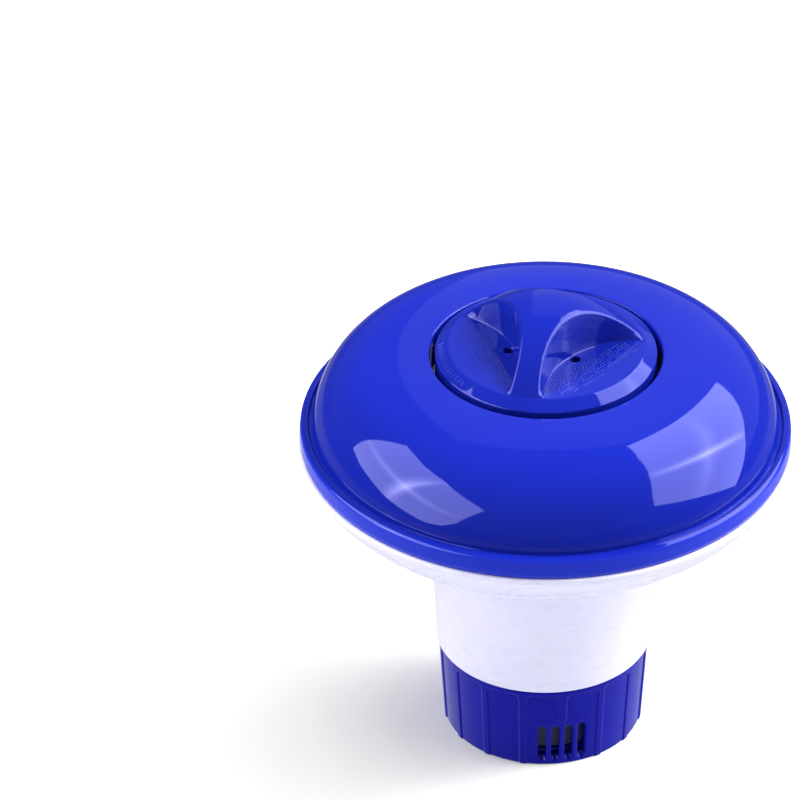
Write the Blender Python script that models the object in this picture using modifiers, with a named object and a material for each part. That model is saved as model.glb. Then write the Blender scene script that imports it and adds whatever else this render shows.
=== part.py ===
"""Floating chlorine dispenser: a hollow two-shell float around a tablet tube, with a bayonet lid and a screw-down vent collar.

Metres, +Z up. The origin is the centre of the collar's bottom rim, on the axis that every round piece shares.
"""

import math

import bmesh
import bpy
from mathutils import Matrix, Vector

MM = 0.001
SEGMENTS = 48
CUTTER_SEGMENTS = 96
MERGE = 0.0001
GAP = 0.3 * MM

# Driving sizes
FLOAT_R = 63.5 * MM
RIM_Z = 90.0 * MM
OVERALL_Z = 128.5 * MM
WALL = 2.0 * MM

# Dome shell
DOME_R = 60.3 * MM
DOME_BASE_Z = RIM_Z + 1.0 * MM
DOME_RISE = 21.9 * MM
DOME_EXPONENTS = (6.0, 1.75)
FLANGE_TOP_Z = 92.5 * MM
FLANGE_BOTTOM_Z = 86.7 * MM
FLANGE_LIP_R = 61.6 * MM
GROOVE_R = 60.9 * MM
GROOVE_Z = 91.9 * MM
LAP_TOP_Z = 90.4 * MM
SHOULDER_ROUND = 2.0 * MM
HEM_ROUND = 0.8 * MM
RECESS_R = 29.9 * MM
RECESS_FLOOR_Z = 104.0 * MM
LEDGE_R = 25.8 * MM
LEDGE_BOTTOM_Z = 101.5 * MM
THROAT_R = 28.2 * MM
THROAT_BOTTOM_Z = 93.0 * MM

# Bowl shell and neck
BOWL_R = 64.1 * MM
BOWL_LIP_R = FLANGE_LIP_R - GAP
BEAD = 0.5 * MM
BOWL_EXPONENTS = (2.3, 1.2)
NECK_TOP_R = 30.3 * MM
NECK_TOP_Z = 66.5 * MM
NECK_END_R = 28.3 * MM
NECK_END_Z = 25.1 * MM

# Tablet tube
TUBE_CUP_R = THROAT_R - GAP
TUBE_TOP_Z = 97.5 * MM
TUBE_R = NECK_END_R - WALL - GAP
TUBE_END_R = 24.0 * MM
SPIGOT_TOP_Z = 14.0 * MM
SPIGOT_R = 23.2 * MM
TUBE_END_Z = 4.0 * MM
TUBE_WALL = 1.8 * MM
TUBE_STEP_Z = NECK_END_Z + 0.4 * MM
FLARE_LOW_Z = 84.0 * MM
FLARE_HIGH_Z = 88.5 * MM
KEYWAY_WIDTH = 4.4 * MM
KEYWAY_TOP_Z = 17.5 * MM

# Lid
LID_R = 28.5 * MM
LID_RIM_Z = 112.8 * MM
LID_SKIRT_Z = 105.7 * MM
LID_CREASE_R = 25.3 * MM
LID_EDGE_ROUND = 0.6 * MM
LID_SKIRT_WALL = 1.6 * MM
KNOB_BEND = 20.8
POCKET_R = 28.1 * MM
POCKET_CENTRE = 36.3 * MM
POCKET_FLOOR_Z = 115.3 * MM
POCKET_DIRECTIONS = (-43.0, 77.0, 197.0)
LID_UNDER_Z = 113.3 * MM
SKIRT_ROOT_Z = 110.6 * MM
HOLLOW_R = 21.5 * MM
HOLLOW_SIDE = 1.8 * MM
VENT_R = 1.3 * MM
VENT_RADIUS = 10.0 * MM

# Liner with the bayonet lugs
LINER_R = 25.3 * MM
LINER_BORE = 23.3 * MM
LINER_HEAD_R = 26.5 * MM
LINER_BOTTOM_Z = 98.2 * MM
LINER_HEAD_Z = 109.3 * MM
LUG_R = 27.2 * MM
LUG_HEIGHT = 3.0 * MM
LUG_ANGLE = 20.0
NOTCH_R = 28.05 * MM
NOTCH_ANGLE = 26.0
LUG_DIRECTIONS = (30.0, 150.0, 270.0)

# Seal
SEAL_R = 27.6 * MM
SEAL_WIRE_R = 0.55 * MM

# Vent collar
COLLAR_TOP_Z = NECK_END_Z - GAP
COLLAR_TOP_R = 27.9 * MM
COLLAR_BASE_R = 26.4 * MM
COLLAR_BORE = 24.6 * MM
COLLAR_LIP_BORE = 20.5 * MM
COLLAR_LIP = 1.8 * MM
BAND_HEIGHT = 1.5 * MM
PANEL_DEPTH = 0.5 * MM
RIB_COUNT = 16
RIB_FIRST = 11.25
RIB_WIDTH = 1.9 * MM
RIB_PROUD = 0.42 * MM
SHORT_RIB_Z = 14.0 * MM
SLOT_WIDTH = 2.3 * MM
SLOT_BOTTOM_Z = 1.0 * MM
SLOT_TOP_Z = 12.9 * MM
SLOT_STEP = 7.7
SLOTS_IN_GROUP = 4

# Grate
GRATE_R = 23.7 * MM
GRATE_BOTTOM_Z = COLLAR_LIP + GAP
GRATE_THICK = 1.5 * MM
GRATE_HOLE_R = 2.2 * MM
GRATE_RINGS = ((0.0, 1), (8.5 * MM, 6), (16.8 * MM, 12))
EAR_WIDTH = 3.6 * MM
EAR_INNER_R = 22.6 * MM
EAR_TOP_Z = 16.0 * MM

BLUE = (0.016, 0.028, 0.62)
DEEP_BLUE = (0.018, 0.022, 0.42)
WHITE = (0.82, 0.82, 0.86)
WARM_WHITE = (0.74, 0.74, 0.76)
BLACK = (0.02, 0.02, 0.022)


def clear_scene():
    for old in list(bpy.data.objects):
        bpy.data.objects.remove(old)


def new_collection(name):
    made = bpy.data.collections.new(name)
    bpy.context.scene.collection.children.link(made)
    return made


def plastic(name, colour, roughness):
    made = bpy.data.materials.new(name)
    made.use_nodes = True
    shader = made.node_tree.nodes["Principled BSDF"]
    shader.inputs["Base Color"].default_value = (*colour, 1.0)
    shader.inputs["Roughness"].default_value = roughness
    shader.inputs["Metallic"].default_value = 0.0
    made.diffuse_color = (*colour, 1.0)
    return made


def arc(centre_r, centre_z, radius, start, end, steps):
    """Points of a round corner, by angle in degrees from +X towards +Z."""
    points = []
    for i in range(steps + 1):
        a = math.radians(start + (end - start) * i / steps)
        points.append((centre_r + radius * math.cos(a), centre_z + radius * math.sin(a)))
    return points


def superellipse(radius, height, exponents, angles):
    """(r, z) of a superellipse quarter at each angle in degrees, 0 at its widest and 90 at its pole."""
    points = []
    for degrees in angles:
        a = math.radians(degrees)
        r = radius * math.cos(a) ** (2 / exponents[0])
        z = height * math.sin(a) ** (2 / exponents[1])
        points.append((r, z))
    return points


def superellipse_z(r, radius, height, exponents):
    """Height of the superellipse at radius r."""
    cosine_squared = (r / radius) ** exponents[0]
    return height * (1 - cosine_squared) ** (1 / exponents[1])


def add_object(name, mesh, material, collection):
    made = bpy.data.objects.new(name, mesh)
    made.data.materials.append(material)
    collection.objects.link(made)
    return made


def turned(name, profile, closed, material, collection, steps=SEGMENTS):
    """A body of revolution about Z. The profile runs down the outer side first."""
    count = len(profile)
    edges = [(i, i + 1) for i in range(count - 1)]
    if closed:
        edges.append((count - 1, 0))
    mesh = bpy.data.meshes.new(name)
    mesh.from_pydata([(r, 0, z) for r, z in profile], edges, [])
    made = add_object(name, mesh, material, collection)
    screw = made.modifiers.new("turn", "SCREW")
    screw.axis = "Z"
    screw.steps = steps
    screw.render_steps = steps
    screw.use_merge_vertices = True
    screw.merge_threshold = MERGE
    return made


def as_cutter(made):
    made.hide_render = True
    made.display_type = "WIRE"
    return made


def combine(target, tool, operation):
    step = target.modifiers.new(operation.lower(), "BOOLEAN")
    step.operation = operation
    step.solver = "EXACT"
    step.object = tool


def cut(target, tool):
    combine(target, tool, "DIFFERENCE")


def join(target, tool):
    combine(target, tool, "UNION")


def about_z(degrees):
    return Matrix.Rotation(math.radians(degrees), 4, "Z")


def from_front(degrees):
    """Turns +X to face the front (-Y), then on towards +X by this angle."""
    return about_z(degrees - 90.0)


def add_box(bm, low, high, place):
    """A box between two corners, then placed by a matrix."""
    size = Vector(high) - Vector(low)
    middle = (Vector(high) + Vector(low)) / 2
    shape = place @ Matrix.Translation(middle) @ Matrix.Diagonal((*size, 1.0))
    bmesh.ops.create_cube(bm, size=1.0, matrix=shape)


def add_cylinder(bm, radius, low_z, high_z, place, segments):
    shape = place @ Matrix.Translation((0, 0, (low_z + high_z) / 2))
    bmesh.ops.create_cone(
        bm,
        cap_ends=True,
        segments=segments,
        radius1=radius,
        radius2=radius,
        depth=high_z - low_z,
        matrix=shape,
    )


def mesh_object(name, bm, material, collection):
    mesh = bpy.data.meshes.new(name)
    bm.to_mesh(mesh)
    bm.free()
    return add_object(name, mesh, material, collection)


def dome_outline():
    """Outer dome, shoulder and flange, from the recess edge down to the flange's underside."""
    edge_z = DOME_BASE_Z + superellipse_z(RECESS_R, DOME_R, DOME_RISE, DOME_EXPONENTS)
    crown = [(RECESS_R, edge_z - 0.4 * MM), (RECESS_R + 0.4 * MM, edge_z)]
    angles = (80, 76, 71, 65, 58, 50, 41, 31, 20, 8)
    for r, z in superellipse(DOME_R, DOME_RISE, DOME_EXPONENTS, angles):
        crown.append((r, z + DOME_BASE_Z))
    groove = [(GROOVE_R, GROOVE_Z)]
    shoulder = arc(FLOAT_R - SHOULDER_ROUND, FLANGE_TOP_Z - SHOULDER_ROUND, SHOULDER_ROUND, 90, 0, 4)
    hem = arc(FLOAT_R - HEM_ROUND, FLANGE_BOTTOM_Z + HEM_ROUND, HEM_ROUND, 0, -90, 2)
    return crown + groove + shoulder + hem


def dome_lining():
    """Inside of the dome shell, from the flange's underside back to the recess edge."""
    skirt = [(FLANGE_LIP_R, FLANGE_BOTTOM_Z), (FLANGE_LIP_R, LAP_TOP_Z)]
    inner = superellipse(DOME_R - WALL, DOME_RISE - WALL, DOME_EXPONENTS, (8, 24, 40, 54, 66, 76))
    skin = [(r, z + DOME_BASE_Z) for r, z in inner]
    back = RECESS_R + WALL
    under = DOME_BASE_Z + superellipse_z(back, DOME_R - WALL, DOME_RISE - WALL, DOME_EXPONENTS)
    well = [
        (back, under),
        (back, LEDGE_BOTTOM_Z),
        (THROAT_R + WALL, LEDGE_BOTTOM_Z - WALL),
        (THROAT_R + WALL, THROAT_BOTTOM_Z),
        (THROAT_R, THROAT_BOTTOM_Z),
        (THROAT_R, LEDGE_BOTTOM_Z),
        (LEDGE_R, LEDGE_BOTTOM_Z),
        (LEDGE_R, RECESS_FLOOR_Z),
        (RECESS_R, RECESS_FLOOR_Z),
    ]
    return skirt + skin + well


def bayonet_notches(collection, material):
    """Wedges that open the ledge where the lid's lugs drop through."""
    bm = bmesh.new()
    width = 2 * LEDGE_R * math.tan(math.radians(NOTCH_ANGLE / 2))
    for direction in LUG_DIRECTIONS:
        low = (LEDGE_R - 3 * MM, -width / 2, LEDGE_BOTTOM_Z - 1 * MM)
        high = (NOTCH_R, width / 2, RECESS_FLOOR_Z + 1 * MM)
        add_box(bm, low, high, about_z(direction))
    return as_cutter(mesh_object("cut_notches", bm, material, collection))


def make_dome(parts, cutters, material):
    dome = turned("float_dome", dome_outline() + dome_lining(), True, material, parts)
    cut(dome, bayonet_notches(cutters, material))
    return dome


def bowl_curve(outer_r, top_z, inner_r, bottom_z, angles):
    """A bulging bowl wall from its rim down to the neck."""
    points = []
    for r, z in superellipse(outer_r - inner_r, top_z - bottom_z, BOWL_EXPONENTS, angles):
        points.append((inner_r + r, top_z - z))
    return points


def make_bowl(parts, material):
    rim_z = FLANGE_BOTTOM_Z - GAP
    lip_top = LAP_TOP_Z - GAP
    outer = [(BOWL_LIP_R, lip_top), (BOWL_LIP_R, rim_z), (BOWL_R - BEAD, rim_z)]
    outer += bowl_curve(BOWL_R, rim_z - BEAD, NECK_TOP_R, NECK_TOP_Z, (0, 12, 22, 32, 42, 52, 62, 72, 82, 90))
    outer += [(NECK_END_R, NECK_END_Z), (NECK_END_R - WALL, NECK_END_Z)]
    inner = bowl_curve(
        BOWL_LIP_R - WALL, rim_z, NECK_TOP_R - WALL, NECK_TOP_Z + WALL, (88, 75, 62, 50, 38, 26, 13, 0)
    )
    return turned("float_bowl", outer + inner + [(BOWL_LIP_R - WALL, lip_top)], True, material, parts)


def keyway_cutter(collection, material):
    """One bar across the tube's end: it opens both keyways."""
    bm = bmesh.new()
    low = (-TUBE_R, -KEYWAY_WIDTH / 2, TUBE_END_Z - 2 * MM)
    high = (TUBE_R, KEYWAY_WIDTH / 2, KEYWAY_TOP_Z)
    add_box(bm, low, high, Matrix.Identity(4))
    return as_cutter(mesh_object("cut_keyways", bm, material, collection))


def make_tube(parts, cutters, material):
    outer = [
        (TUBE_CUP_R, TUBE_TOP_Z),
        (TUBE_CUP_R, FLARE_HIGH_Z),
        (TUBE_R, FLARE_LOW_Z),
        (TUBE_R, TUBE_STEP_Z),
        (TUBE_END_R, TUBE_STEP_Z),
        (TUBE_END_R, SPIGOT_TOP_Z),
        (SPIGOT_R, SPIGOT_TOP_Z - 0.5 * MM),
        (SPIGOT_R, TUBE_END_Z),
    ]
    inner = [
        (TUBE_END_R - TUBE_WALL, TUBE_END_Z),
        (TUBE_END_R - TUBE_WALL, TUBE_STEP_Z),
        (TUBE_R - TUBE_WALL, TUBE_STEP_Z + 4 * MM),
        (TUBE_R - TUBE_WALL, FLARE_LOW_Z),
        (TUBE_CUP_R - TUBE_WALL, FLARE_HIGH_Z),
        (TUBE_CUP_R - TUBE_WALL, TUBE_TOP_Z),
    ]
    tube = turned("tablet_tube", outer + inner, True, material, parts)
    cut(tube, keyway_cutter(cutters, material))
    return tube


def knob_z(r, drop=0.0):
    """Height of the knob's crown at radius r, or of a surface a set drop below it."""
    return OVERALL_Z - drop - KNOB_BEND * r * r


def pocket_tools(name, grow, floor_z, collection, material):
    """Three round-walled finger pockets, or the same columns grown by a wall thickness."""
    tools = []
    for number, direction in enumerate(POCKET_DIRECTIONS):
        bm = bmesh.new()
        place = about_z(direction) @ Matrix.Translation((POCKET_CENTRE, 0, 0))
        add_cylinder(bm, POCKET_R + grow, floor_z, OVERALL_Z + 8 * MM, place, CUTTER_SEGMENTS)
        tools.append(as_cutter(mesh_object(f"{name}_{number}", bm, material, collection)))
    return tools


def knob_hollow(collection, material):
    """The space inside the three-armed knob, open underneath."""
    radii = [HOLLOW_R * i / 5 for i in range(6)]
    profile = [(r, knob_z(r, WALL)) for r in radii]
    profile += [(HOLLOW_R, LID_UNDER_Z - 1 * MM), (0.0, LID_UNDER_Z - 1 * MM)]
    hollow = turned("cut_knob_hollow", profile, False, material, collection)
    floor_z = LID_UNDER_Z - 3 * MM
    for tool in pocket_tools("cut_hollow_side", HOLLOW_SIDE, floor_z, collection, material):
        cut(hollow, tool)
    return as_cutter(hollow)


def vent_cutter(collection, material):
    bm = bmesh.new()
    for direction in POCKET_DIRECTIONS:
        place = about_z(direction) @ Matrix.Translation((VENT_RADIUS, 0, 0))
        add_cylinder(bm, VENT_R, LID_UNDER_Z - 2 * MM, POCKET_FLOOR_Z + 2 * MM, place, 12)
    return as_cutter(mesh_object("cut_vents", bm, material, collection))


def make_lid(parts, cutters, material):
    crown = [(LID_CREASE_R * i / 10, knob_z(LID_CREASE_R * i / 10)) for i in range(10)]
    crease = [(LID_CREASE_R, POCKET_FLOOR_Z)]
    rim = arc(LID_R - LID_EDGE_ROUND, LID_RIM_Z, LID_EDGE_ROUND, 55, 0, 3)
    skirt = [
        (LID_R, LID_SKIRT_Z),
        (LID_R - LID_SKIRT_WALL, LID_SKIRT_Z),
        (LID_R - LID_SKIRT_WALL, SKIRT_ROOT_Z),
        (LINER_R, LID_UNDER_Z),
        (0.0, LID_UNDER_Z),
    ]
    lid = turned("lid_cap", crown + crease + rim + skirt, False, material, parts)
    for tool in pocket_tools("cut_pocket", 0.0, POCKET_FLOOR_Z, cutters, material):
        cut(lid, tool)
    cut(lid, knob_hollow(cutters, material))
    cut(lid, vent_cutter(cutters, material))
    return lid


def lug_tool(collection, material):
    """Three bayonet lugs as blocks that reach out from the liner's lower edge."""
    bm = bmesh.new()
    width = 2 * LINER_R * math.tan(math.radians(LUG_ANGLE / 2))
    for direction in LUG_DIRECTIONS:
        low = (LINER_R - 1.2 * MM, -width / 2, LINER_BOTTOM_Z + 0.2 * MM)
        high = (LUG_R, width / 2, LINER_BOTTOM_Z + LUG_HEIGHT)
        add_box(bm, low, high, about_z(direction))
    return as_cutter(mesh_object("add_lugs", bm, material, collection))


def make_liner(parts, cutters, material):
    top_z = LID_UNDER_Z - GAP
    profile = [
        (LINER_R, top_z),
        (LINER_HEAD_R, top_z - 2.6 * MM),
        (LINER_HEAD_R, LINER_HEAD_Z),
        (LINER_R, LINER_HEAD_Z - 1 * MM),
        (LINER_R, LINER_BOTTOM_Z),
        (LINER_BORE, LINER_BOTTOM_Z),
        (LINER_BORE, top_z),
    ]
    liner = turned("lid_liner", profile, True, material, parts)
    join(liner, lug_tool(cutters, material))
    return liner


def make_seal(parts, material):
    middle_z = (RECESS_FLOOR_Z + LID_SKIRT_Z) / 2
    ring = arc(SEAL_R, middle_z, SEAL_WIRE_R, 90, -225, 7)
    return turned("lid_seal", ring, True, material, parts)


def collar_radius(z):
    """Outer radius of the ribs and the top band at height z."""
    return COLLAR_BASE_R + (COLLAR_TOP_R - COLLAR_BASE_R) * z / COLLAR_TOP_Z


def rib_tool(collection, material):
    """All the upright ribs. One rib in each slot group stops above the slots."""
    slope = (COLLAR_TOP_R - COLLAR_BASE_R) / COLLAR_TOP_Z
    lean = Matrix.Identity(4)
    lean[0][2] = slope
    outer = COLLAR_BASE_R - PANEL_DEPTH + RIB_PROUD
    inner = outer - 1.1 * MM
    bm = bmesh.new()
    for number in range(RIB_COUNT):
        short = number % (RIB_COUNT // 2) == 0
        low_z = SHORT_RIB_Z if short else 0.5 * MM
        high_z = COLLAR_TOP_Z - BAND_HEIGHT + 0.4 * MM
        turn = from_front(RIB_FIRST + number * 360.0 / RIB_COUNT)
        add_box(bm, (inner, -RIB_WIDTH / 2, low_z), (outer, RIB_WIDTH / 2, high_z), turn @ lean)
    return as_cutter(mesh_object("add_ribs", bm, material, collection))


def slot_tool(collection, material):
    """Round-ended upright slots in two groups, each centred under a short rib."""
    bm = bmesh.new()
    radius = SLOT_WIDTH / 2
    for group in (0.0, 180.0):
        for number in range(SLOTS_IN_GROUP):
            offset = (number - (SLOTS_IN_GROUP - 1) / 2) * SLOT_STEP
            turn = from_front(RIB_FIRST + group + offset)
            lay_down = Matrix.Rotation(math.radians(90), 4, "Y")
            place = turn @ Matrix.Translation((0, 0, SLOT_BOTTOM_Z + radius)) @ lay_down
            before = set(bm.verts)
            add_cylinder(bm, radius, COLLAR_BORE - 0.6 * MM, COLLAR_TOP_R + 1 * MM, place, 12)
            middle = SLOT_BOTTOM_Z + radius
            for vertex in set(bm.verts) - before:
                if vertex.co.z > middle + 0.01 * MM:
                    vertex.co.z += SLOT_TOP_Z - SLOT_BOTTOM_Z - SLOT_WIDTH
    return as_cutter(mesh_object("cut_slots", bm, material, collection))


def make_collar(parts, cutters, material):
    band_z = COLLAR_TOP_Z - BAND_HEIGHT
    profile = [
        (collar_radius(COLLAR_TOP_Z) - 0.4 * MM, COLLAR_TOP_Z),
        (collar_radius(COLLAR_TOP_Z), COLLAR_TOP_Z - 0.4 * MM),
        (collar_radius(band_z), band_z),
        (collar_radius(band_z) - PANEL_DEPTH, band_z - 0.3 * MM),
        (collar_radius(0.8 * MM) - PANEL_DEPTH, 0.8 * MM),
        (COLLAR_BASE_R - PANEL_DEPTH - 0.5 * MM, 0.0),
        (COLLAR_LIP_BORE, 0.0),
        (COLLAR_LIP_BORE, COLLAR_LIP),
        (COLLAR_BORE, COLLAR_LIP),
        (COLLAR_BORE, COLLAR_TOP_Z),
    ]
    collar = turned("vent_collar", profile, True, material, parts)
    join(collar, rib_tool(cutters, material))
    cut(collar, slot_tool(cutters, material))
    return collar


def grate_holes(collection, material):
    bm = bmesh.new()
    for radius, count in GRATE_RINGS:
        for number in range(count):
            place = about_z(15.0 + number * 360.0 / count) @ Matrix.Translation((radius, 0, 0))
            add_cylinder(bm, GRATE_HOLE_R, 0.0, GRATE_BOTTOM_Z + 2 * GRATE_THICK, place, 10)
    return as_cutter(mesh_object("cut_grate_holes", bm, material, collection))


def ear_tool(collection, material):
    """Two upright ears that ride in the tube's keyways."""
    bm = bmesh.new()
    for direction in (0.0, 180.0):
        low = (EAR_INNER_R, -EAR_WIDTH / 2, GRATE_BOTTOM_Z + 0.5 * MM)
        high = (GRATE_R - 0.2 * MM, EAR_WIDTH / 2, EAR_TOP_Z)
        add_box(bm, low, high, about_z(direction))
    return as_cutter(mesh_object("add_ears", bm, material, collection))


def make_grate(parts, cutters, material):
    top = GRATE_BOTTOM_Z + GRATE_THICK
    profile = [(0.0, top), (GRATE_R, top), (GRATE_R, GRATE_BOTTOM_Z), (0.0, GRATE_BOTTOM_Z)]
    grate = turned("tablet_grate", profile, False, material, parts)
    join(grate, ear_tool(cutters, material))
    cut(grate, grate_holes(cutters, material))
    return grate


def main():
    clear_scene()
    parts = new_collection("floating_chlorine_dispenser")
    cutters = new_collection("cutters")
    make_dome(parts, cutters, plastic("dome_blue", BLUE, 0.12))
    make_bowl(parts, plastic("bowl_white", WHITE, 0.3))
    make_tube(parts, cutters, plastic("tube_white", WARM_WHITE, 0.4))
    make_lid(parts, cutters, plastic("lid_blue", BLUE, 0.15))
    make_liner(parts, cutters, plastic("liner_white", WARM_WHITE, 0.4))
    make_seal(parts, plastic("seal_rubber", BLACK, 0.6))
    make_collar(parts, cutters, plastic("collar_blue", DEEP_BLUE, 0.3))
    make_grate(parts, cutters, plastic("grate_blue", DEEP_BLUE, 0.35))


main()
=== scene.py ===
"""Looks for the floating chlorine dispenser: fine meshes, procedural plastics, studio floor and lights."""

from math import atan, cos, degrees as to_degrees, hypot, pi, radians, sin, sqrt, tan

import bmesh
import bpy
from mathutils import Matrix, Vector
from mathutils.geometry import delaunay_2d_cdt


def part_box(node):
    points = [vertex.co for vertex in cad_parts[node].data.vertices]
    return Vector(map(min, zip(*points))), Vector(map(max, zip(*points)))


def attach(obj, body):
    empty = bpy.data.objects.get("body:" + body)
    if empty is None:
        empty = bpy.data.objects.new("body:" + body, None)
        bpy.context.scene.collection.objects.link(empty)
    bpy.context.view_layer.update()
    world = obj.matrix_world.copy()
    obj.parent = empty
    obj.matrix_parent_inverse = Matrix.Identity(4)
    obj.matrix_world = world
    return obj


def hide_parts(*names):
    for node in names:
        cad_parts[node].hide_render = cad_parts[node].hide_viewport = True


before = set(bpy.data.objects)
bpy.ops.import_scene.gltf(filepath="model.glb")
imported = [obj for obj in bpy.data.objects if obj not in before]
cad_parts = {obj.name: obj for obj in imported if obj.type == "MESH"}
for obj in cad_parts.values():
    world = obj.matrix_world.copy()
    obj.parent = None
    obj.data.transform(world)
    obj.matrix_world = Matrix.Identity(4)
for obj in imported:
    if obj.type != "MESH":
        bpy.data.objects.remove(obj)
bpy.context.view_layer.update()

MM = 0.001
SPIN = 288
SHARP_ANGLE = 38.0

# ---- driving sizes, read from the frame
DOME_LOW, DOME_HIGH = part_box("float_dome")
BOWL_LOW, BOWL_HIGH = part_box("float_bowl")
TUBE_LOW, TUBE_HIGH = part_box("tablet_tube")
LID_LOW, LID_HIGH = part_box("lid_cap")
LINER_LOW, LINER_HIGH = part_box("lid_liner")
SEAL_LOW, SEAL_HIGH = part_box("lid_seal")
COLLAR_LOW, COLLAR_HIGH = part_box("vent_collar")
GRATE_LOW, GRATE_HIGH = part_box("tablet_grate")

FLOAT_R = DOME_HIGH.x
FLANGE_LOW_Z = DOME_LOW.z
FLANGE_TOP_Z = FLANGE_LOW_Z + 5.8 * MM
RIM_Z = FLANGE_LOW_Z + 3.3 * MM
LAP_TOP_Z = RIM_Z + 0.4 * MM
DOME_R = FLOAT_R - 3.2 * MM
DOME_BASE_Z = RIM_Z + 1.0 * MM
DOME_RISE = DOME_HIGH.z - DOME_BASE_Z + 0.2 * MM
DOME_POWERS = (6.0, 1.75)
RECESS_R = 29.9 * MM
RECESS_FLOOR_Z = SEAL_LOW.z - 0.3 * MM
LEDGE_R = 25.8 * MM
LEDGE_LOW_Z = RECESS_FLOOR_Z - 2.5 * MM
THROAT_R = TUBE_HIGH.x + 0.3 * MM
NOTCH_R = 28.05 * MM
NOTCH_HALF = 13.0
LUG_DIRECTIONS = (30.0, 150.0, 270.0)

NECK_TOP_R = 30.3 * MM
NECK_TOP_Z = 66.5 * MM
NECK_END_R = 28.3 * MM
BOWL_POWERS = (2.3, 1.2)
SKIN = 2.0 * MM
LIP_R = FLOAT_R - 2.2 * MM
CUP_LOW_Z = 88.5 * MM
CUP_TAPER_Z = 84.0 * MM

LID_R = LID_HIGH.x
LID_FLOOR_Z = LID_HIGH.z - 13.2 * MM
LID_UNDER_Z = LID_FLOOR_Z - 2.0 * MM
KNOB_BEND = 20.8
POCKET_R = 28.1 * MM
POCKET_CENTRE = 36.3 * MM
POCKET_DIRECTIONS = (-43.0, 77.0, 197.0)
VENT_R = 1.3 * MM
VENT_RADIUS = 10.0 * MM

COLLAR_TOP_Z = COLLAR_HIGH.z
COLLAR_TOP_R = 27.9 * MM
COLLAR_FOOT_R = 26.4 * MM
COLLAR_BORE = 24.6 * MM
LIP_BORE = 20.5 * MM
RIB_STEP = 22.5
RIB_FIRST = 11.25


# ---- small geometry helpers
def polar(radius, degrees):
    a = radians(degrees)
    return radius * cos(a), radius * sin(a)


def smooth_max(a, b, width):
    """The larger of two values, with the corner between them rounded over a width."""
    h = max(width - abs(a - b), 0.0) / width
    return max(a, b) + h * h * width / 4


def smooth_min(a, b, width):
    return -smooth_max(-a, -b, width)


def ease(t):
    t = min(1.0, max(0.0, t))
    return t * t * (3 - 2 * t)


def superellipse(radius, height, powers, angles):
    points = []
    for degrees in angles:
        a = radians(degrees)
        points.append((radius * cos(a) ** (2 / powers[0]), height * sin(a) ** (2 / powers[1])))
    return points


def superellipse_z(r, radius, height, powers):
    return height * max(0.0, 1 - (r / radius) ** powers[0]) ** (1 / powers[1])


def spread(start, end, count):
    return [start + (end - start) * i / count for i in range(count + 1)]


def rounded(corners, steps=6):
    """A closed outline with each corner (r, z, radius) turned into a fillet arc. Radius 0 keeps the point."""
    outline = []
    count = len(corners)
    for i, (r, z, radius) in enumerate(corners):
        here = Vector((r, z))
        if radius <= 0:
            outline.append((r, z))
            continue
        back = Vector(corners[i - 1][:2]) - here
        ahead = Vector(corners[(i + 1) % count][:2]) - here
        reach = 0.48 * min(back.length, ahead.length)
        back.normalize()
        ahead.normalize()
        half = back.angle(ahead) / 2
        tangent = min(radius / tan(half), reach)
        radius = tangent * tan(half)
        centre = here + (back + ahead).normalized() * (radius / sin(half))
        first = here + back * tangent - centre
        last = here + ahead * tangent - centre
        turn = first.angle(last)
        for k in range(steps + 1):
            t = k / steps
            a = sin((1 - t) * turn) / sin(turn)
            b = sin(t * turn) / sin(turn)
            outline.append(tuple(centre + first * a + last * b))
    return outline


def add_object(name, data):
    made = bpy.data.objects.new(name, data)
    bpy.context.scene.collection.objects.link(made)
    return made


def object_from(name, bm):
    """Turns a bmesh into an object of the scene."""
    mesh = bpy.data.meshes.new(name)
    bm.to_mesh(mesh)
    bm.free()
    return add_object(name, mesh)


def finish_mesh(name, bm, body, nodes, material):
    """Closes up a bmesh as a smooth-shaded piece that rides on a body and stands for CAD nodes."""
    bmesh.ops.remove_doubles(bm, verts=bm.verts, dist=0.004 * MM)
    bmesh.ops.recalc_face_normals(bm, faces=bm.faces)
    piece = object_from(name, bm)
    piece.data.shade_smooth()
    piece.data.set_sharp_from_angle(angle=radians(SHARP_ANGLE))
    piece.data.materials.append(material)
    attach(piece, body)
    if nodes:
        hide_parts(*nodes)
    return piece


def sweep(bm, profile_at, angles):
    """A ring-shaped body: the closed outline profile_at(angle) carried round Z through every angle."""
    columns = []
    for degrees in angles:
        a = radians(degrees)
        c, s = cos(a), sin(a)
        columns.append([bm.verts.new((r * c, r * s, z)) for r, z in profile_at(degrees)])
    for i, column in enumerate(columns):
        following = columns[(i + 1) % len(columns)]
        for j, vert in enumerate(column):
            k = (j + 1) % len(column)
            bm.faces.new((vert, following[j], following[k], column[k]))


def even_angles(count=SPIN):
    return [360.0 * i / count for i in range(count)]


def angles_with_edges(directions, half, blend, count=SPIN):
    """Even steps round the circle, with pairs of close steps where a notch or lug begins or ends."""
    edges = [d + side * half for d in directions for side in (-1, 1)]
    angles = set()
    for even in even_angles(count):
        if all(abs((even - e + 180) % 360 - 180) > blend * 1.5 for e in edges):
            angles.add(round(even, 5))
    for e in edges:
        angles.add(round((e - blend / 2) % 360, 5))
        angles.add(round((e + blend / 2) % 360, 5))
    return sorted(angles)


def within(degrees, directions, half):
    return any(abs((degrees - d + 180) % 360 - 180) < half for d in directions)


def ring_points(radius, count=SPIN, centre=(0.0, 0.0)):
    return [(centre[0] + polar(radius, a)[0], centre[1] + polar(radius, a)[1]) for a in even_angles(count)]


class Plan:
    """Collects loose points and closed or open chains of a flat sheet."""

    def __init__(self):
        self.points = []
        self.chains = []

    def chain(self, points, closed=False):
        start = len(self.points)
        self.points += points
        numbers = list(range(start, len(self.points)))
        if closed:
            numbers.append(start)
        self.chains.append(numbers)

    def loose(self, points):
        self.points += points


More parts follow.
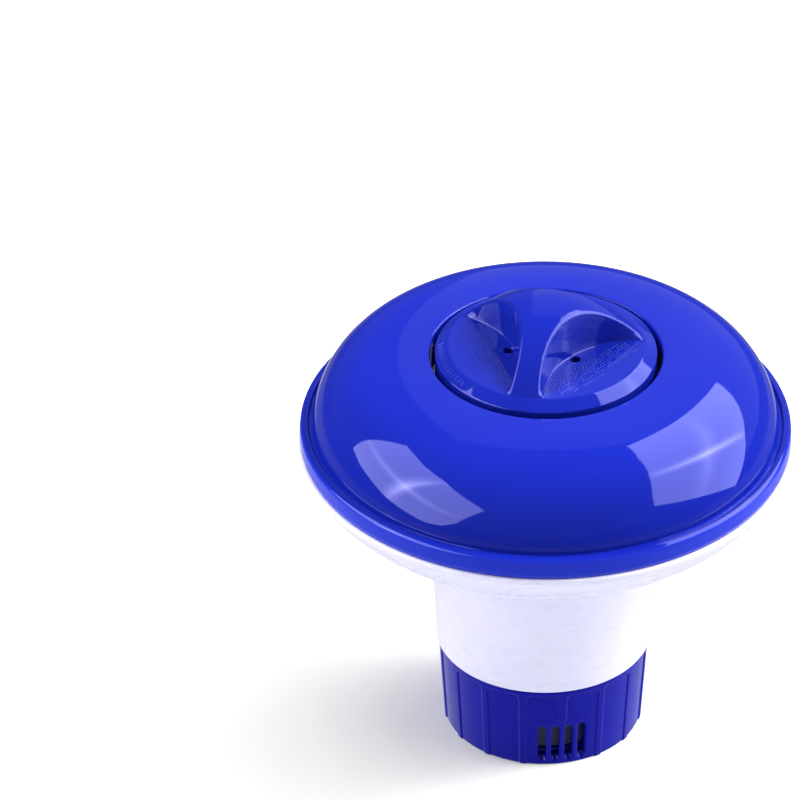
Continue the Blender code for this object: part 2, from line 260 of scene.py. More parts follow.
def sheet_faces(bm, plan, keep, lift, flip=False):
    """Triangulates a plan with its chains as edges, and adds the triangles to keep, lifted by lift(x, y)."""
    edges = [pair for chain in plan.chains for pair in zip(chain, chain[1:])]
    made, _, faces, _, _, _ = delaunay_2d_cdt([Vector(p) for p in plan.points], edges, [], 0, 1e-9)
    used = {}
    for face in faces:
        centre = sum((made[i] for i in face), Vector((0.0, 0.0))) / len(face)
        if not keep(centre.x, centre.y):
            continue
        corners = []
        for i in face:
            if i not in used:
                used[i] = bm.verts.new(lift(made[i].x, made[i].y))
            corners.append(used[i])
        if flip:
            corners.reverse()
        bm.faces.new(corners)


def bridge(bm, loops, closed=True):
    """Quads between successive loops of the same length."""
    rows = [[bm.verts.new(p) for p in loop] for loop in loops]
    count = len(rows[0])
    last = count if closed else count - 1
    for a, b in zip(rows, rows[1:]):
        for i in range(last):
            j = (i + 1) % count
            bm.faces.new((a[i], a[j], b[j], b[i]))


def honeycomb(spacing, low, high):
    """Points of a triangular grid over a rectangle."""
    points = []
    rise = spacing * sqrt(3) / 2
    for j in range(int((high[1] - low[1]) / rise) + 1):
        for i in range(int((high[0] - low[0]) / spacing) + 1):
            points.append((low[0] + (i + 0.5 * (j % 2)) * spacing, low[1] + j * rise))
    return points


# ---- float
def dome_outline(notched):
    """Closed outline of the blue upper shell. Notched is where a lug of the lid drops through the ledge."""
    edge_z = DOME_BASE_Z + superellipse_z(RECESS_R, DOME_R, DOME_RISE, DOME_POWERS)
    corners = [(RECESS_R, edge_z, 0.55 * MM)]
    for r, z in superellipse(DOME_R, DOME_RISE, DOME_POWERS, spread(81.8, 7.0, 44)):
        corners.append((r, DOME_BASE_Z + z, 0))
    top = FLANGE_TOP_Z
    lap_r = FLOAT_R - 1.9 * MM
    corners += [
        (DOME_R + 0.05 * MM, top - 0.5 * MM, 0.25 * MM),
        (DOME_R + 0.35 * MM, top - 1.0 * MM, 0.1 * MM),
        (DOME_R + 0.75 * MM, top - 0.95 * MM, 0.1 * MM),
        (DOME_R + 1.05 * MM, top - 0.15 * MM, 0.25 * MM),
        (FLOAT_R - 0.15 * MM, top - 0.4 * MM, 1.6 * MM),
        (FLOAT_R, FLANGE_LOW_Z + 1.2 * MM, 1.5 * MM),
        (FLOAT_R - 0.25 * MM, FLANGE_LOW_Z, 0.2 * MM),
        (lap_r, FLANGE_LOW_Z, 0.3 * MM),
        (lap_r, LAP_TOP_Z, 0.3 * MM),
    ]
    for r, z in superellipse(DOME_R - SKIN, DOME_RISE - SKIN, DOME_POWERS, spread(8.0, 77.0, 14)):
        corners.append((r, DOME_BASE_Z + z, 0))
    back = RECESS_R + SKIN
    under_z = DOME_BASE_Z + superellipse_z(back, DOME_R - SKIN, DOME_RISE - SKIN, DOME_POWERS)
    ledge_r = NOTCH_R if notched else LEDGE_R
    corners += [
        (back, under_z, 0.4 * MM),
        (back, LEDGE_LOW_Z, 0.4 * MM),
        (THROAT_R + SKIN, LEDGE_LOW_Z - SKIN, 0.4 * MM),
        (THROAT_R + SKIN, LEDGE_LOW_Z - 8.5 * MM, 0.5 * MM),
        (THROAT_R, LEDGE_LOW_Z - 8.5 * MM, 0.5 * MM),
        (THROAT_R, LEDGE_LOW_Z, 0),
        (ledge_r, LEDGE_LOW_Z, 0),
        (ledge_r, RECESS_FLOOR_Z, 0),
        (RECESS_R, RECESS_FLOOR_Z, 0.5 * MM),
    ]
    return rounded(corners)


def build_dome(material):
    bm = bmesh.new()
    plain = dome_outline(False)
    notched = dome_outline(True)
    angles = angles_with_edges(LUG_DIRECTIONS, NOTCH_HALF, 0.3)
    sweep(bm, lambda a: notched if within(a, LUG_DIRECTIONS, NOTCH_HALF) else plain, angles)
    return finish_mesh("dome_shell", bm, "float", ["float_dome"], material)


def build_bowl(material):
    """White lower shell: a rim bead under the flange, a bulging wall and the tapering neck."""
    rim_z = FLANGE_LOW_Z - 0.06 * MM
    bowl_r = BOWL_HIGH.x
    corners = [(LIP_R, BOWL_HIGH.z, 0.4 * MM), (LIP_R, rim_z, 0.3 * MM), (bowl_r, rim_z, 0.55 * MM)]
    wall_top = rim_z - 1.1 * MM
    outer_rise = wall_top - NECK_TOP_Z
    for r, z in superellipse(bowl_r - NECK_TOP_R, outer_rise, BOWL_POWERS, spread(3.0, 86.0, 36)):
        corners.append((NECK_TOP_R + r, wall_top - z, 0))
    corners += [
        (NECK_TOP_R, NECK_TOP_Z, 1.3 * MM),
        (NECK_END_R, BOWL_LOW.z, 0.25 * MM),
        (NECK_END_R - SKIN, BOWL_LOW.z, 0.25 * MM),
        (NECK_TOP_R - SKIN, NECK_TOP_Z + SKIN, 1.5 * MM),
    ]
    inner_r = LIP_R - SKIN
    inner_rise = wall_top - NECK_TOP_Z - SKIN
    for r, z in superellipse(inner_r - NECK_TOP_R, inner_rise, BOWL_POWERS, spread(84.0, 3.0, 14)):
        corners.append((NECK_TOP_R + r, wall_top - z, 0))
    corners.append((inner_r, BOWL_HIGH.z, 0.4 * MM))
    outline = rounded(corners)
    bm = bmesh.new()
    sweep(bm, lambda a: outline, even_angles())
    return finish_mesh("bowl_shell", bm, "float", ["float_bowl"], material)


KEYWAY_DIRECTIONS = (0.0, 180.0)
KEYWAY_HALF = 5.2
SPIGOT_R = 23.2 * MM
SPIGOT_TOP_Z = 14.0 * MM
KEYWAY_TOP_Z = 17.5 * MM
THREAD_LEAD = 36.0 * MM
THREAD_STARTS = 3
THREAD_HEIGHT = 0.4 * MM
THREAD_END_Z = 24.0 * MM
THREAD_R = 24.0 * MM
TUBE_WALL = 1.8 * MM


def thread_height(degrees, z):
    """Three coarse ridges that wind round the tube where the collar screws on."""
    pitch = THREAD_LEAD / THREAD_STARTS
    offset = (z - THREAD_LEAD * degrees / 360.0 + pitch / 2) % pitch - pitch / 2
    fade = ease((z - SPIGOT_TOP_Z) / (1.5 * MM)) * ease((THREAD_END_Z - z) / (1.0 * MM))
    return THREAD_HEIGHT * ease(1.4 - abs(offset) / (0.8 * MM)) * fade


def tube_outline(degrees):
    """Closed outline of the tablet tube, whose end is cut back at the two keyways."""
    keyed = within(degrees, KEYWAY_DIRECTIONS, KEYWAY_HALF)
    step_z = BOWL_LOW.z + 0.4 * MM
    body_r = NECK_END_R - 2.3 * MM
    cup_r = TUBE_HIGH.x
    corners = [
        (cup_r, TUBE_HIGH.z, 0.4 * MM),
        (cup_r, CUP_LOW_Z, 2.0 * MM),
        (body_r, CUP_TAPER_Z, 2.0 * MM),
        (body_r, step_z, 0.3 * MM),
        (THREAD_R, step_z, 0.2 * MM),
    ]
    thread_low = KEYWAY_TOP_Z if keyed else SPIGOT_TOP_Z
    for z in spread(step_z - 0.6 * MM, thread_low + 0.6 * MM, 34):
        corners.append((THREAD_R + thread_height(degrees, z), z, 0))
    if keyed:
        low = thread_low
        end = [(THREAD_R, low + 0.4 * MM), (THREAD_R - 0.3 * MM, low + 0.1 * MM), (THREAD_R - 0.6 * MM, low)]
    else:
        low = TUBE_LOW.z
        end = [(THREAD_R, thread_low), (SPIGOT_R, thread_low - 0.5 * MM), (SPIGOT_R, low)]
    corners += [(r, z, 0.15 * MM) for r, z in end]
    corners += [
        (THREAD_R - TUBE_WALL, low, 0.3 * MM),
        (THREAD_R - TUBE_WALL, step_z, 1.0 * MM),
        (body_r - TUBE_WALL, step_z + 4.0 * MM, 1.0 * MM),
        (body_r - TUBE_WALL, CUP_TAPER_Z, 2.0 * MM),
        (cup_r - TUBE_WALL, CUP_LOW_Z, 2.0 * MM),
        (cup_r - TUBE_WALL, TUBE_HIGH.z, 0.4 * MM),
    ]
    return rounded(corners, 4)


def build_tube(material):
    bm = bmesh.new()
    angles = angles_with_edges(KEYWAY_DIRECTIONS, KEYWAY_HALF, 0.3, 240)
    sweep(bm, tube_outline, angles)
    return finish_mesh("tablet_tube_wall", bm, "float", ["tablet_tube"], material)


# ---- lid
EDGE_ROUND = 0.8 * MM
UNDER_STEEP = 20.0
UNDER_SOFT = 6.0 * MM
FOOT_FILLET = 0.45 * MM
LEAN_START_R = 8.0 * MM
LEAN_SPAN = 12.0 * MM
LEAN_LEAST = 0.3 * MM
LEAN_MORE = 0.6 * MM
KNOB_WALL = 2.0 * MM
POCKET_WALL = 1.8 * MM
HOLLOW_R = 21.6 * MM
VENT_CHAMFER = 0.25 * MM
VENT_CHAMFER_MIDDLE = 0.12 * MM
CREASE_R = 25.3 * MM
CREASE_SOFT = 0.3 * MM
BAND_SLOPE = 0.60
BAND_BEND = 10.0
RIM_ROUND = 0.5 * MM
ARC_SPAN = 124.0
LID_PLATE_R = 25.3 * MM


def pocket_inset(x, y):
    """Distance inside the nearest finger pocket's wall line, negative on the knob."""
    best = -1.0
    for direction in POCKET_DIRECTIONS:
        cx, cy = polar(POCKET_CENTRE, direction)
        best = max(best, POCKET_R - hypot(x - cx, y - cy))
    return best


def wall_angle(r, height):
    """Steepness of a pocket's wall. Towards the arm tips the walls flare out."""
    lean = LEAN_LEAST + LEAN_MORE * ((r - LEAN_START_R) / LEAN_SPAN) ** 2
    return atan(max(0.3, (height - 0.3 * EDGE_ROUND) / lean))


def wall_drop(inset, angle):
    """How far the surface has fallen at an inset: a round edge, then a straight wall."""
    if inset <= -EDGE_ROUND:
        return 0.0
    end = EDGE_ROUND * (sin(angle) - 1)
    if inset < end:
        return EDGE_ROUND - sqrt(EDGE_ROUND**2 - (inset + EDGE_ROUND) ** 2)
    return EDGE_ROUND * (1 - cos(angle)) + (inset - end) * tan(angle)


def foot_inset(height, angle):
    """Where a wall of this height meets its foot."""
    round_drop = EDGE_ROUND * (1 - cos(angle))
    if height <= round_drop:
        return sqrt(EDGE_ROUND**2 - (EDGE_ROUND - max(0.0, height)) ** 2) - EDGE_ROUND
    return EDGE_ROUND * (sin(angle) - 1) + (height - round_drop) / tan(angle)


def under_drop(inset):
    """The underside's wall, with a softer edge."""
    return smooth_max(0.0, UNDER_STEEP * inset, UNDER_SOFT)


def knob_crown(r):
    return LID_HIGH.z - KNOB_BEND * r * r


def lid_plate(r):
    """Pocket floors, flat out to a crisp crease, then a slightly bulging cone down to the lid's edge."""
    past = r - CREASE_R
    cone = -BAND_SLOPE * past - BAND_BEND * max(0.0, past) ** 2
    return LID_FLOOR_Z + smooth_min(0.0, cone, CREASE_SOFT)


def band_lean(r):
    """How steeply the cone outside the crease falls at this radius, as an angle."""
    return atan(BAND_SLOPE + 2 * BAND_BEND * (r - CREASE_R))


LID_EDGE_R = LID_R - RIM_ROUND * (1 - sin(band_lean(LID_R)))


def nearest_vent(x, y):
    return min(hypot(x - vx, y - vy) for vx, vy in (polar(VENT_RADIUS, d) for d in POCKET_DIRECTIONS))


def lid_top(x, y):
    r = hypot(x, y)
    inset = pocket_inset(x, y)
    crown = knob_crown(r)
    plate = lid_plate(r)
    height = crown - plate
    angle = wall_angle(r, height)
    fillet = FOOT_FILLET * ease(height / (3.0 * MM))
    reach = fillet * tan(angle / 2)
    past = inset - foot_inset(height, angle)
    if -reach * cos(angle) < past < reach:
        z = plate + fillet - sqrt(fillet**2 - (reach - past) ** 2)
    else:
        z = smooth_max(crown - wall_drop(inset, angle), plate, 0.15 * MM)
    chamfer = max(0.0, VENT_R + VENT_CHAMFER - nearest_vent(x, y))
    return Vector((x, y, z - chamfer))


def lid_under(x, y):
    r = hypot(x, y)
    hollow = knob_crown(r) - KNOB_WALL - under_drop(pocket_inset(x, y) + POCKET_WALL)
    hollow -= under_drop(r - HOLLOW_R)
    return Vector((x, y, smooth_max(hollow, LID_UNDER_Z, 0.4 * MM)))


def pocket_arcs(plan, tracks, reach, spacing):
    """Follows each pocket's wall along tracks, each a share of the way to the foot plus an offset."""
    for direction in POCKET_DIRECTIONS:
        centre = Vector(polar(POCKET_CENTRE, direction))
        count = int(radians(ARC_SPAN) * POCKET_R / spacing)
        turns = [direction + 180.0 + ARC_SPAN * (i / count - 0.5) for i in range(count + 1)]
        for share, offset in tracks:
            arc = []
            for a in turns:
                foot = 0.0
                for _ in range(4 if share else 0):
                    r = (centre + Vector(polar(POCKET_R - foot, a))).length
                    height = knob_crown(r) - lid_plate(r)
                    foot = foot_inset(height, wall_angle(r, height))
                p = centre + Vector(polar(POCKET_R - share * foot - offset, a))
                if p.length < reach:
                    arc.append(tuple(p))
            plan.chain(arc)


def vent_loops(radius):
    return [ring_points(radius, 24, polar(VENT_RADIUS, d)) for d in POCKET_DIRECTIONS]


def lid_sheet(edge_r, tracks, reach, ring_radii, fill, clear_low, clear_high):
    """Plan of one lid surface: its edge, wall lines, vent holes, rings and a loose filling."""
    plan = Plan()
    plan.chain(ring_points(edge_r), closed=True)
    pocket_arcs(plan, tracks, reach, 0.5 * MM)
    for radius in (VENT_R, VENT_R + VENT_CHAMFER_MIDDLE, VENT_R + VENT_CHAMFER):
        for loop in vent_loops(radius):
            plan.chain(loop, closed=True)
    for radius in ring_radii:
        if radius > CREASE_R - 0.45 * MM:
            plan.chain(ring_points(radius), closed=True)
            continue
        for x, y in ring_points(radius, 200):
            if not clear_low < pocket_inset(x, y) < clear_high:
                plan.loose([(x, y)])
    for x, y in honeycomb(fill, (-edge_r, -edge_r), (edge_r, edge_r)):
        inside = hypot(x, y) < min(ring_radii) - 0.4 * fill
        clear = not clear_low < pocket_inset(x, y) < clear_high
        if inside and clear and nearest_vent(x, y) > VENT_R + 0.7 * MM:
            plan.loose([(x, y)])
    return plan


def build_lid(material):
    """Lid moulding: domed three-armed knob, three finger pockets with a vent in each, rim and skirt."""
    bm = bmesh.new()

    def outside_vents(x, y):
        return nearest_vent(x, y) > VENT_R * 0.985

    edges = [(0.0, -1.3 * MM), (0.0, -1.0 * MM)]
    edges += [(0.0, EDGE_ROUND * (sin(a) - 1)) for a in spread(0.0, pi / 2, 8)]
    walls = [(0.25, 0.0), (0.5, 0.0), (0.75, 0.0)]
    feet = [(1.0, level) for level in spread(-0.24 * MM, 0.48 * MM, 12) + [0.62 * MM, 0.9 * MM]]
    top_rings = [24.2 * MM, 24.7 * MM] + spread(24.9 * MM, 25.8 * MM, 9) + spread(26.2 * MM, 28.0 * MM, 4)
    top_reach = CREASE_R - 0.3 * MM
    top = lid_sheet(LID_EDGE_R, edges + walls + feet, top_reach, top_rings, 0.85 * MM, -1.6 * MM, 2.4 * MM)
    sheet_faces(bm, top, outside_vents, lid_top)
    low_tracks = [(0.0, level) for level in spread(-2.3 * MM, -1.3 * MM, 10)]
    low_rings = spread(21.1 * MM, 22.4 * MM, 9) + [23.4 * MM, 24.4 * MM]
    low_reach = LID_PLATE_R - 1.6 * MM
    low = lid_sheet(LID_PLATE_R, low_tracks, low_reach, low_rings, 1.3 * MM, -2.7 * MM, 0.0)
    sheet_faces(bm, low, outside_vents, lid_under, flip=True)
    edge_z = lid_top(LID_EDGE_R, 0.0).z
    lean = band_lean(LID_EDGE_R)
    side = [(LID_EDGE_R, edge_z)]
    for a in spread(pi / 2 - lean, 0.0, 8)[1:]:
        drop = RIM_ROUND * (cos(lean) - sin(a))
        side.append((LID_R - RIM_ROUND * (1 - cos(a)), edge_z - drop))
    inner_r = LID_R - 1.6 * MM
    side += [
        (LID_R, LID_LOW.z + 0.3 * MM),
        (LID_R - 0.3 * MM, LID_LOW.z),
        (inner_r + 0.3 * MM, LID_LOW.z),
        (inner_r, LID_LOW.z + 0.3 * MM),
        (inner_r, LID_UNDER_Z - 2.7 * MM),
        (LID_PLATE_R, LID_UNDER_Z),
    ]
    around = even_angles()
    bridge(bm, [[Vector((*polar(r, a), z)) for a in around] for r, z in side])
    for loop in vent_loops(VENT_R):
        bridge(bm, [[lid_top(x, y) for x, y in loop], [lid_under(x, y) for x, y in loop]])
    return finish_mesh("lid_shell", bm, "lid", ["lid_cap"], material)


TICK_STEP = 0.86 * MM
TICK_TALL = 0.62 * MM
TICK_SHORT = 0.42 * MM
TICK_WIDTH = 0.34 * MM
TICK_HEIGHT = 0.19 * MM
TICK_ROWS = [(along * MM, -14.0 * MM, 14.5 * MM) for along in spread(13.3, 18.3, 5)]
TICK_ROWS.append((20.0 * MM, -11.0 * MM, 3.0 * MM))
RIM_TICK_R = 27.0 * MM
RIM_TICK_COUNT = 15
RIM_TICK_FIRST = 178.0
RIM_TICK_TURN = 2.9


def add_tick(bm, place, length, width, height):
    """A small raised bar with sloping sides, its foot sunk a little into the surface."""
    rings = []
    for z, shrink in ((-0.06 * MM, 0.0), (height * 0.6, 0.04 * MM), (height, 0.11 * MM)):
        half = (length / 2 - shrink, width / 2 - shrink)
        signs = ((1, 1), (-1, 1), (-1, -1), (1, -1))
        rings.append([bm.verts.new(place @ Vector((half[0] * a, half[1] * b, z))) for a, b in signs])
    bm.faces.new(list(reversed(rings[0])))
    bm.faces.new(rings[-1])
    for low, high in zip(rings, rings[1:]):
        for i in range(4):
            j = (i + 1) % 4
            bm.faces.new((low[i], low[j], high[j], high[i]))


def build_pocket_ticks(material):
    """Rows of plain raised ticks on the pocket floors, where moulded markings would sit."""
    bm = bmesh.new()
    for number, direction in enumerate(POCKET_DIRECTIONS):
        turn = Matrix.Rotation(radians(direction), 4, "Z")
        for row, (along, first, last) in enumerate(TICK_ROWS):
            for i in range(int((last - first) / TICK_STEP)):
                across = first + (i + 0.5) * TICK_STEP
                walled = pocket_inset(*(turn @ Vector((along, across, 0)))[:2]) < 2.0 * MM
                if walled or (i * 5 + row * 3 + number) % 11 in (0, 6):
                    continue
                length = TICK_TALL if (i + row) % 3 else TICK_SHORT
                place = turn @ Matrix.Translation((along, across, LID_FLOOR_Z))
                add_tick(bm, place, length, TICK_WIDTH, TICK_HEIGHT)
    return finish_mesh("pocket_ticks", bm, "lid", [], material)


def build_rim_ticks(material):
    """An arc of raised ticks on the lid's shoulder, a plain grip and alignment scale."""
    bm = bmesh.new()
    for i in range(RIM_TICK_COUNT):
        direction = RIM_TICK_FIRST + i * RIM_TICK_TURN
        turn = Matrix.Rotation(radians(direction), 4, "Z")
        tilt = Matrix.Rotation(band_lean(RIM_TICK_R), 4, "Y")
        place = turn @ Matrix.Translation((RIM_TICK_R, 0, lid_plate(RIM_TICK_R))) @ tilt
        add_tick(bm, place, 1.5 * MM if i % 3 else 1.9 * MM, 0.42 * MM, 0.2 * MM)
    return finish_mesh("rim_ticks", bm, "lid", [], material)


LUG_HALF = 10.0
LINER_R = 25.3 * MM
LINER_BORE = 23.3 * MM
LINER_HEAD_R = 26.5 * MM
LUG_R = 27.4 * MM


def liner_outline(lug):
    """Closed outline of the liner ring. At a lug the foot reaches out under the float's ledge."""
    top = LINER_HIGH.z
    low = LINER_LOW.z
    lug_r = LUG_R if lug else LINER_R
    return [
        (LINER_R - 0.3 * MM, top),
        (LINER_R, top - 0.3 * MM),
        (LINER_HEAD_R, top - 2.6 * MM),
        (LINER_HEAD_R, top - 3.7 * MM),
        (LINER_R, top - 4.7 * MM),
        (LINER_R, low + 3.2 * MM),
        (lug_r, low + 2.9 * MM),
        (lug_r, low + 0.5 * MM),
        (max(LINER_R - 0.3 * MM, lug_r - 0.4 * MM), low + 0.1 * MM),
        (LINER_R - 0.4 * MM, low),
        (LINER_BORE + 0.3 * MM, low),
        (LINER_BORE, low + 0.3 * MM),
        (LINER_BORE, top - 0.3 * MM),
        (LINER_BORE + 0.3 * MM, top),
    ]


def build_liner(material):
    bm = bmesh.new()
    angles = angles_with_edges(LUG_DIRECTIONS, LUG_HALF, 0.4)
    plain = liner_outline(False)
    lug = liner_outline(True)
    sweep(bm, lambda a: lug if within(a, LUG_DIRECTIONS, LUG_HALF) else plain, angles)
    return finish_mesh("liner_ring", bm, "lid", ["lid_liner"], material)


def build_seal(material):
    bm = bmesh.new()
    wire = (SEAL_HIGH.z - SEAL_LOW.z) / 2
    middle = SEAL_HIGH.x - wire
    steps = spread(0.0, 345.0, 23)
    outline = [(middle + polar(wire, -a)[0], SEAL_LOW.z + wire + polar(wire, -a)[1]) for a in steps]
    sweep(bm, lambda a: outline, even_angles())
    return finish_mesh("seal_ring", bm, "seal", ["lid_seal"], material)


# ---- collar and grate
CELL_R = 27.2 * MM
CELL_WIDTH = radians(RIB_STEP) * CELL_R
RIB_HALF = 0.95 * MM
BAND_LOW_Z = COLLAR_TOP_Z - 1.5 * MM
SHORT_RIB_Z = 14.0 * MM
PANEL_DEPTH = 0.36 * MM
SLOT_HALF = 1.15 * MM
SLOT_LOW_Z = 1.0 * MM
SLOT_HIGH_Z = 12.9 * MM
SLOT_OFFSETS = (3.85, 11.55)
SHORT_RIBS = (0, 8)
SLOT_LIFT = 1.25 * MM
CUT_SLACK = 0.02 * MM
COLLAR_ROUND = 0.4 * MM
OUTER_LOW_Z = COLLAR_ROUND
OUTER_HIGH_Z = COLLAR_TOP_Z - COLLAR_ROUND


def collar_taper(z):
    return COLLAR_FOOT_R + (COLLAR_TOP_R - COLLAR_FOOT_R) * z / COLLAR_TOP_Z


def rib_distance(u, z, short):
    """Distance from a rib's outline; a short rib ends in a round nose."""
    past_end = max(0.0, SHORT_RIB_Z + RIB_HALF - z) if short else 0.0
    return hypot(u, past_end) - RIB_HALF


def slot_distance(u, z, slots):
    """Distance from the nearest slot's outline, negative inside it."""
    best = 1.0
    for centre in slots:
        over = max(0.0, z - (SLOT_HIGH_Z - SLOT_HALF), SLOT_LOW_Z + SLOT_HALF - z)
        best = min(best, hypot(u - centre, over) - SLOT_HALF)
    return best


def collar_surface(u, z, shorts, slots):
    """Outer radius of a cell: ribs and top band stand proud of the recessed panel."""
    from_band = BAND_LOW_Z - z
    left = rib_distance(u, z, shorts[0])
    right = rib_distance(CELL_WIDTH - u, z, shorts[1])
    distance = smooth_min(smooth_min(from_band, left, 1.6 * MM), right, 1.6 * MM)
    depth = PANEL_DEPTH * ease(distance / (0.5 * MM) + 0.5)
    depth += 0.14 * MM * ease(1 - slot_distance(u, z, slots) / (0.3 * MM))
    return collar_taper(z) - depth


def slot_outline(centre, grow, lift):
    """Round-ended slot outline. Lift raises only the lower end, for the inner side of the wall."""
    half = SLOT_HALF + grow
    outline = []
    for a in spread(0.0, 180.0, 9):
        du, dz = polar(half, a)
        outline.append((centre + du, SLOT_HIGH_Z - SLOT_HALF + dz))
    straight = spread(SLOT_HIGH_Z - SLOT_HALF, SLOT_LOW_Z + SLOT_HALF + lift, 12)
    outline += [(centre - half, z) for z in straight[1:-1]]
    for a in spread(180.0, 360.0, 9):
        du, dz = polar(half, a)
        outline.append((centre + du, SLOT_LOW_Z + SLOT_HALF + lift + dz))
    outline += [(centre + half, z) for z in reversed(straight[1:-1])]
    return outline


def cell_columns():
    """Steps across a cell, close together at the rib flanks."""
    half = [0.0, 0.35, 0.62, 0.72, 0.82, 0.92, 1.02, 1.12, 1.22, 1.4, 1.65, 1.95, 2.3, 2.8, 3.5, 4.4]
    left = [u * MM for u in half]
    return left + [CELL_WIDTH / 2] + [CELL_WIDTH - u for u in reversed(left)]


def cell_rows():
    """Steps up a cell, close together at the short rib's nose and under the top band."""
    rows = spread(OUTER_LOW_Z, 13.4 * MM, 18)
    rows += spread(13.6 * MM, 15.2 * MM, 10)
    rows += spread(15.9 * MM, 20.6 * MM, 7)
    rows += spread(20.9 * MM, 22.9 * MM, 8)
    rows += spread(23.0 * MM, 23.6 * MM, 6)
    return rows + spread(23.8 * MM, OUTER_HIGH_Z, 2)


def cell_plan(columns, rows, slots, grows, lift):
    """Plan of one side of a cell's wall, unrolled flat, with the slots as chains."""
    plan = Plan()
    border = [(u, rows[0]) for u in columns]
    border += [(columns[-1], z) for z in rows[1:]]
    border += [(u, rows[-1]) for u in reversed(columns[:-1])]
    border += [(columns[0], z) for z in reversed(rows[1:-1])]
    plan.chain(border, closed=True)
    for centre in slots:
        for grow in grows:
            plan.chain(slot_outline(centre, grow, lift), closed=True)
    for u in columns[1:-1]:
        for z in rows[1:-1]:
            if slot_distance(u, z, slots) > max(grows) + 0.2 * MM:
                plan.loose([(u, z)])
    return plan


def edge_step(degrees):
    """How far a rounded outer edge of the collar has come in and gone on at this many degrees of turn."""
    a = radians(degrees)
    return COLLAR_ROUND * (1 - cos(a)), COLLAR_ROUND * sin(a)


def build_collar_cell(bm, number):
    """One of the sixteen cells between rib centre lines, as closed-up wall, foot lip and top edge."""
    shorts = (number in SHORT_RIBS, (number + 1) % 16 in SHORT_RIBS)
    offsets = [radians(a) * CELL_R for a in SLOT_OFFSETS]
    slots = offsets if shorts[0] else [CELL_WIDTH - u for u in offsets] if shorts[1] else []
    start = -90.0 + RIB_FIRST + number * RIB_STEP
    columns = cell_columns()

    def at(u, r, z):
        return Vector((*polar(r, start + to_degrees(u / CELL_R)), z))

    def outer_keep(u, z):
        return slot_distance(u, z, slots) > -CUT_SLACK

    def inner_keep(u, z):
        """On the inner wall the slot's lower end is raised."""
        return slot_distance(u, z if z > SLOT_HIGH_Z - SLOT_HALF else z - SLOT_LIFT, slots) > -CUT_SLACK

    def outer_point(u, z):
        return at(u, collar_surface(u, z, shorts, slots), z)

    def inner_point(u, z):
        return at(u, COLLAR_BORE, z)

    inner_rows = [COLLAR_LOW.z + 1.8 * MM] + spread(4.0 * MM, COLLAR_TOP_Z - 0.3 * MM, 10)
    outer = cell_plan(columns, cell_rows(), slots, (0.0, 0.12 * MM, 0.3 * MM), 0.0)
    sheet_faces(bm, outer, outer_keep, outer_point)
    inner = cell_plan(columns, inner_rows, slots, (0.0,), SLOT_LIFT)
    sheet_faces(bm, inner, inner_keep, inner_point, flip=True)
    for centre in slots:
        outside = [outer_point(u, z) for u, z in slot_outline(centre, 0.0, 0.0)]
        inside = [inner_point(u, z) for u, z in slot_outline(centre, 0.0, SLOT_LIFT)]
        bridge(bm, [outside, inside])
    foot = [collar_surface(u, OUTER_LOW_Z, shorts, slots) for u in columns]
    head = [collar_surface(u, OUTER_HIGH_Z, shorts, slots) for u in columns]
    rows = []
    for a in spread(0.0, 90.0, 4):
        inset, drop = edge_step(a)
        rows.append([at(u, r - inset, OUTER_LOW_Z - drop) for u, r in zip(columns, foot)])
    for r, z in (
        (LIP_BORE + 0.3 * MM, 0.0),
        (LIP_BORE, 0.3 * MM),
        (LIP_BORE, 1.5 * MM),
        (LIP_BORE + 0.3 * MM, 1.8 * MM),
        (COLLAR_BORE, 1.8 * MM),
    ):
        rows.append([at(u, r, z) for u in columns])
    bridge(bm, rows, closed=False)
    rows = [[at(u, COLLAR_BORE, COLLAR_TOP_Z - 0.3 * MM) for u in columns]]
    rows.append([at(u, COLLAR_BORE + 0.3 * MM, COLLAR_TOP_Z) for u in columns])
    for a in spread(90.0, 0.0, 3):
        inset, rise = edge_step(a)
        rows.append([at(u, r - inset, OUTER_HIGH_Z + rise) for u, r in zip(columns, head)])
    bridge(bm, rows, closed=False)


def build_collar(material):
    bm = bmesh.new()
    for number in range(16):
        build_collar_cell(bm, number)
    return finish_mesh("collar_ring", bm, "collar", ["vent_collar"], material)


GRATE_RINGS = ((0.0, 1), (8.5 * MM, 6), (16.8 * MM, 12))
GRATE_HOLE_R = 2.2 * MM
GRATE_THICK = 1.5 * MM
GRATE_EDGE = 0.2 * MM
EAR_R = 23.05 * MM
EAR_THICK = 0.9 * MM
EAR_WIDTH = 3.6 * MM


def grate_centres():
    return [polar(r, 15.0 + 360.0 * i / count) for r, count in GRATE_RINGS for i in range(count)]


